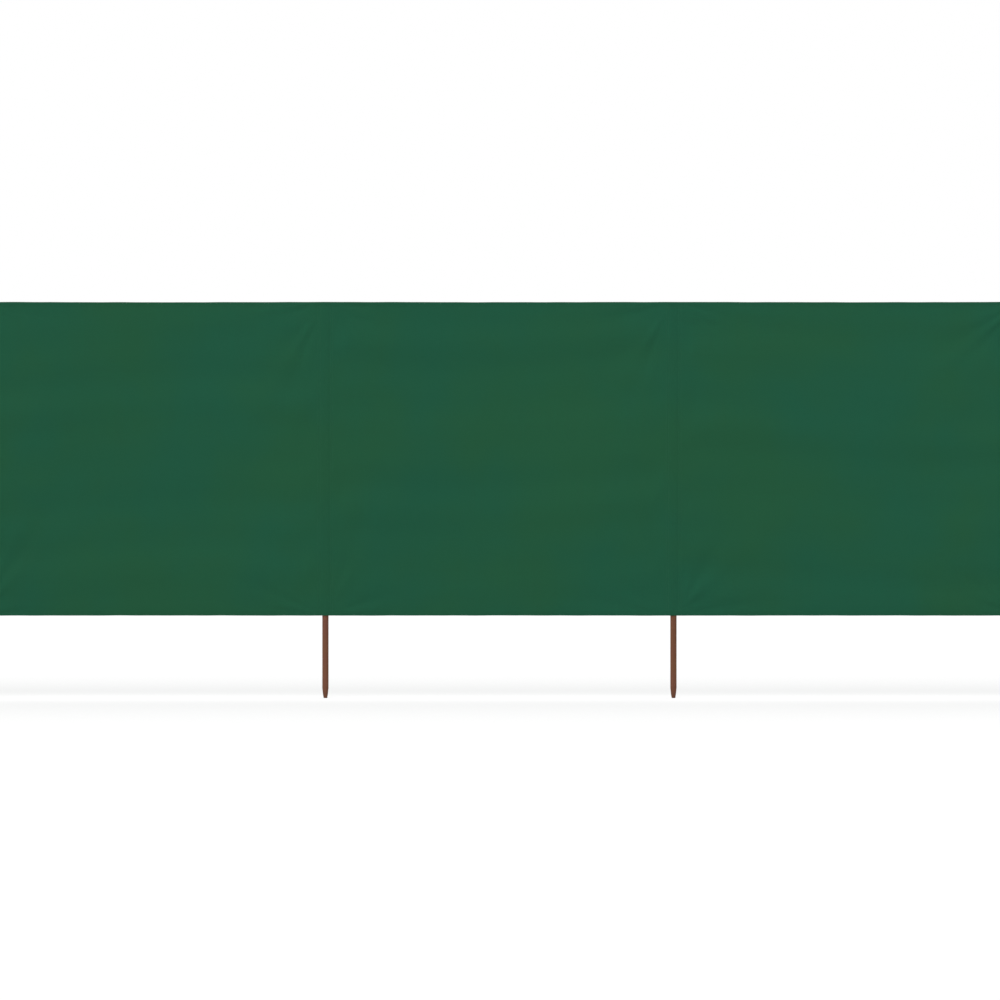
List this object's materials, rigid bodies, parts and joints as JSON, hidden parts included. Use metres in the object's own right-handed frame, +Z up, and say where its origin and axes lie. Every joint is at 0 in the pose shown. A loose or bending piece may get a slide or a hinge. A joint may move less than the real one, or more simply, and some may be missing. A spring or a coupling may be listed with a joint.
{
  "type": "beach windbreak",
  "caption": "Beach windbreak: taut dark green cloth strip in bays, with folded hems and sewn pole sleeves closed at the top, on round pointed wooden poles that push into the ground.",
  "frame": {"origin": "centre of the flat tip of the middle pole, pole_4", "axes": "+X along the windbreak, +Y from the front of the cloth to its back, +Z up"},
  "size_m": [8.061, 0.0278, 1.516],
  "materials": {
    "cloth": "plain dark green weave, matt",
    "wood": "brown stained softwood, satin"
  },
  "bodies": {
    "root": {"panel_1": "cloth", "panel_2": "cloth", "panel_3": "cloth", "panel_4": "cloth", "panel_5": "cloth", "panel_6": "cloth", "sleeve_1": "cloth", "sleeve_2": "cloth", "sleeve_3": "cloth", "sleeve_4": "cloth", "sleeve_5": "cloth", "sleeve_6": "cloth", "sleeve_7": "cloth", "pole_1": "wood", "pole_2": "wood", "pole_3": "wood", "pole_4": "wood", "pole_5": "wood", "pole_6": "wood", "pole_7": "wood"}
  },
  "joints": []
}
